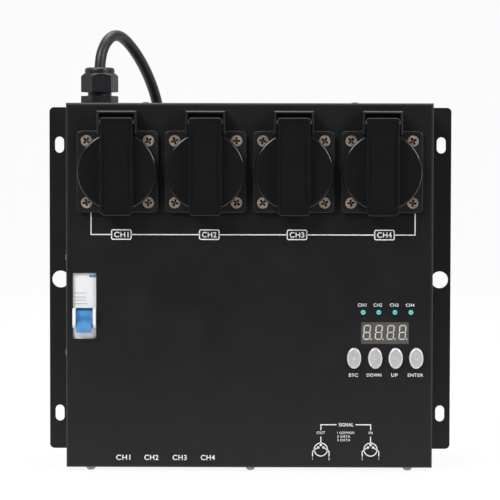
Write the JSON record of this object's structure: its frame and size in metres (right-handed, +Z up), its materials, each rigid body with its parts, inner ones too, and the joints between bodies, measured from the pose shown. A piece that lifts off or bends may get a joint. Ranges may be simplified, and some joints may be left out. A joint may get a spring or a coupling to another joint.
{
  "type": "dimmer pack",
  "caption": "Wall or truss mounted dimmer pack with lidded mains outlets, breaker, digital control panel, fuses, signal sockets and a mains lead.",
  "frame": {"origin": "under the middle of the pack, on the surface that its lowest screw heads stand on", "axes": "+X to the right seen from the front, -Y out of the front face, +Z up"},
  "size_m": [0.261, 0.2135, 0.2749],
  "materials": {
    "case_paint": "satin black powder coat",
    "zinc_steel": "zinc plated",
    "nickel_screw": "warm nickel plated",
    "black_screw": "blackened steel",
    "housing_plastic": "moulded, fine matt",
    "lid_plastic": "moulded, semi gloss",
    "insert_plastic": "moulded",
    "brass": "turned",
    "breaker_plastic": "moulded",
    "toggle_plastic": "moulded",
    "circuit_board": "solder resist",
    "display_plastic": "printed face",
    "led_lens": "tinted lens",
    "button_plastic": "silver moulded",
    "aluminium": "extruded",
    "ferrite": "coated core",
    "capacitor_plastic": "moulded",
    "fuse_plastic": "moulded",
    "fuse_glass": "clear glass",
    "zinc_shell": "nickel plated casting",
    "gland_plastic": "moulded nylon",
    "cord_sheath": "extruded rubber sheath"
  },
  "bodies": {
    "case": {"hood": "case_paint", "base_plate": "case_paint", "top_screws": "black_screw", "case_screws": "zinc_steel", "small_screws": "zinc_steel", "board_spacers": "zinc_steel", "control_board": "circuit_board", "power_board": "circuit_board", "heatsink": "aluminium", "triacs": "insert_plastic", "chokes": "ferrite", "capacitors": "capacitor_plastic", "transformer": "ferrite", "terminal_block": "insert_plastic", "tact_switches": "insert_plastic", "din_rail": "zinc_steel", "breaker_bracket": "zinc_steel", "gland_locknut": "gland_plastic", "lid_pins": "zinc_steel", "lid_springs": "zinc_steel", "socket_contacts": "brass", "socket_inserts": "insert_plastic", "socket_housing_1": "housing_plastic", "socket_housing_2": "housing_plastic", "socket_housing_3": "housing_plastic", "socket_housing_4": "housing_plastic", "socket_screws": "nickel_screw", "breaker_body": "breaker_plastic", "display_module": "display_plastic", "status_leds": "led_lens", "fuse_holders": "fuse_plastic", "signal_out_shell": "zinc_shell", "signal_out_insert": "insert_plastic", "signal_in_shell": "zinc_shell", "signal_in_pins": "brass", "signal_screws": "nickel_screw", "gland_body": "gland_plastic", "gland_nut": "gland_plastic", "cord_run": "cord_sheath", "cord_coil": "cord_sheath", "plug_body": "cord_sheath", "plug_contacts": "brass"},
    "lid_1": {"socket_lid_1": "lid_plastic"},
    "lid_2": {"socket_lid_2": "lid_plastic"},
    "lid_3": {"socket_lid_3": "lid_plastic"},
    "lid_4": {"socket_lid_4": "lid_plastic"},
    "button_esc": {"button_esc": "button_plastic"},
    "button_down": {"button_down": "button_plastic"},
    "button_up": {"button_up": "button_plastic"},
    "button_enter": {"button_enter": "button_plastic"},
    "toggle": {"breaker_toggle": "toggle_plastic"},
    "latch": {"signal_out_latch": "zinc_shell"},
    "fuse_1": {"fuse_1": "fuse_glass"},
    "cap_1": {"fuse_cap_1": "fuse_plastic"},
    "fuse_2": {"fuse_2": "fuse_glass"},
    "cap_2": {"fuse_cap_2": "fuse_plastic"},
    "fuse_3": {"fuse_3": "fuse_glass"},
    "cap_3": {"fuse_cap_3": "fuse_plastic"},
    "fuse_4": {"fuse_4": "fuse_glass"},
    "cap_4": {"fuse_cap_4": "fuse_plastic"}
  },
  "joints": [
    {"name": "lid_1_hinge", "type": "hinge", "parent": "case", "child": "lid_1", "pos_m": [-0.0811, -0.0428, 0.21565], "axis": [-1, 0, 0], "range_deg": [0, 105], "stiffness_Nm_per_rad": 0.01, "springref_deg": -20.05},
    {"name": "lid_2_hinge", "type": "hinge", "parent": "case", "child": "lid_2", "pos_m": [-0.027, -0.0428, 0.21565], "axis": [-1, 0, 0], "range_deg": [0, 105], "stiffness_Nm_per_rad": 0.01, "springref_deg": -20.05},
    {"name": "lid_3_hinge", "type": "hinge", "parent": "case", "child": "lid_3", "pos_m": [0.0271, -0.0428, 0.21565], "axis": [-1, 0, 0], "range_deg": [0, 105], "stiffness_Nm_per_rad": 0.01, "springref_deg": -20.05},
    {"name": "lid_4_hinge", "type": "hinge", "parent": "case", "child": "lid_4", "pos_m": [0.0812, -0.0428, 0.21565], "axis": [-1, 0, 0], "range_deg": [0, 105], "stiffness_Nm_per_rad": 0.01, "springref_deg": -20.05},
    {"name": "button_esc_press", "type": "slide", "parent": "case", "child": "button_esc", "axis": [0, 1, 0], "range_m": [0, 0.0005], "stiffness_N_per_m": 400, "springref_m": -0.001},
    {"name": "button_down_press", "type": "slide", "parent": "case", "child": "button_down", "axis": [0, 1, 0], "range_m": [0, 0.0005], "stiffness_N_per_m": 400, "springref_m": -0.001},
    {"name": "button_up_press", "type": "slide", "parent": "case", "child": "button_up", "axis": [0, 1, 0], "range_m": [0, 0.0005], "stiffness_N_per_m": 400, "springref_m": -0.001},
    {"name": "button_enter_press", "type": "slide", "parent": "case", "child": "button_enter", "axis": [0, 1, 0], "range_m": [0, 0.0005], "stiffness_N_per_m": 400, "springref_m": -0.001},
    {"name": "toggle_switch", "type": "hinge", "parent": "case", "child": "toggle", "pos_m": [-0.10165, -0.0265, 0.0949], "axis": [-1, 0, 0], "range_deg": [0, 66]},
    {"name": "latch_press", "type": "slide", "parent": "case", "child": "latch", "axis": [0, 0, 1], "range_m": [0, 0.0008], "stiffness_N_per_m": 300, "springref_m": -0.001},
    {"name": "fuse_1_pull", "type": "slide", "parent": "case", "child": "fuse_1", "axis": [0, 0, -1], "range_m": [0, 0.045]},
    {"name": "cap_1_turn", "type": "hinge", "parent": "fuse_1", "child": "cap_1", "pos_m": [-0.0778, 0.008, 0.0002], "axis": [0, 0, 1], "range_deg": [0, 90]},
    {"name": "fuse_2_pull", "type": "slide", "parent": "case", "child": "fuse_2", "axis": [0, 0, -1], "range_m": [0, 0.045]},
    {"name": "cap_2_turn", "type": "hinge", "parent": "fuse_2", "child": "cap_2", "pos_m": [-0.06035, 0.008, 0.0002], "axis": [0, 0, 1], "range_deg": [0, 90]},
    {"name": "fuse_3_pull", "type": "slide", "parent": "case", "child": "fuse_3", "axis": [0, 0, -1], "range_m": [0, 0.045]},
    {"name": "cap_3_turn", "type": "hinge", "parent": "fuse_3", "child": "cap_3", "pos_m": [-0.0429, 0.008, 0.0002], "axis": [0, 0, 1], "range_deg": [0, 90]},
    {"name": "fuse_4_pull", "type": "slide", "parent": "case", "child": "fuse_4", "axis": [0, 0, -1], "range_m": [0, 0.045]},
    {"name": "cap_4_turn", "type": "hinge", "parent": "fuse_4", "child": "cap_4", "pos_m": [-0.02545, 0.008, 0.0002], "axis": [0, 0, 1], "range_deg": [0, 90]}
  ]
}
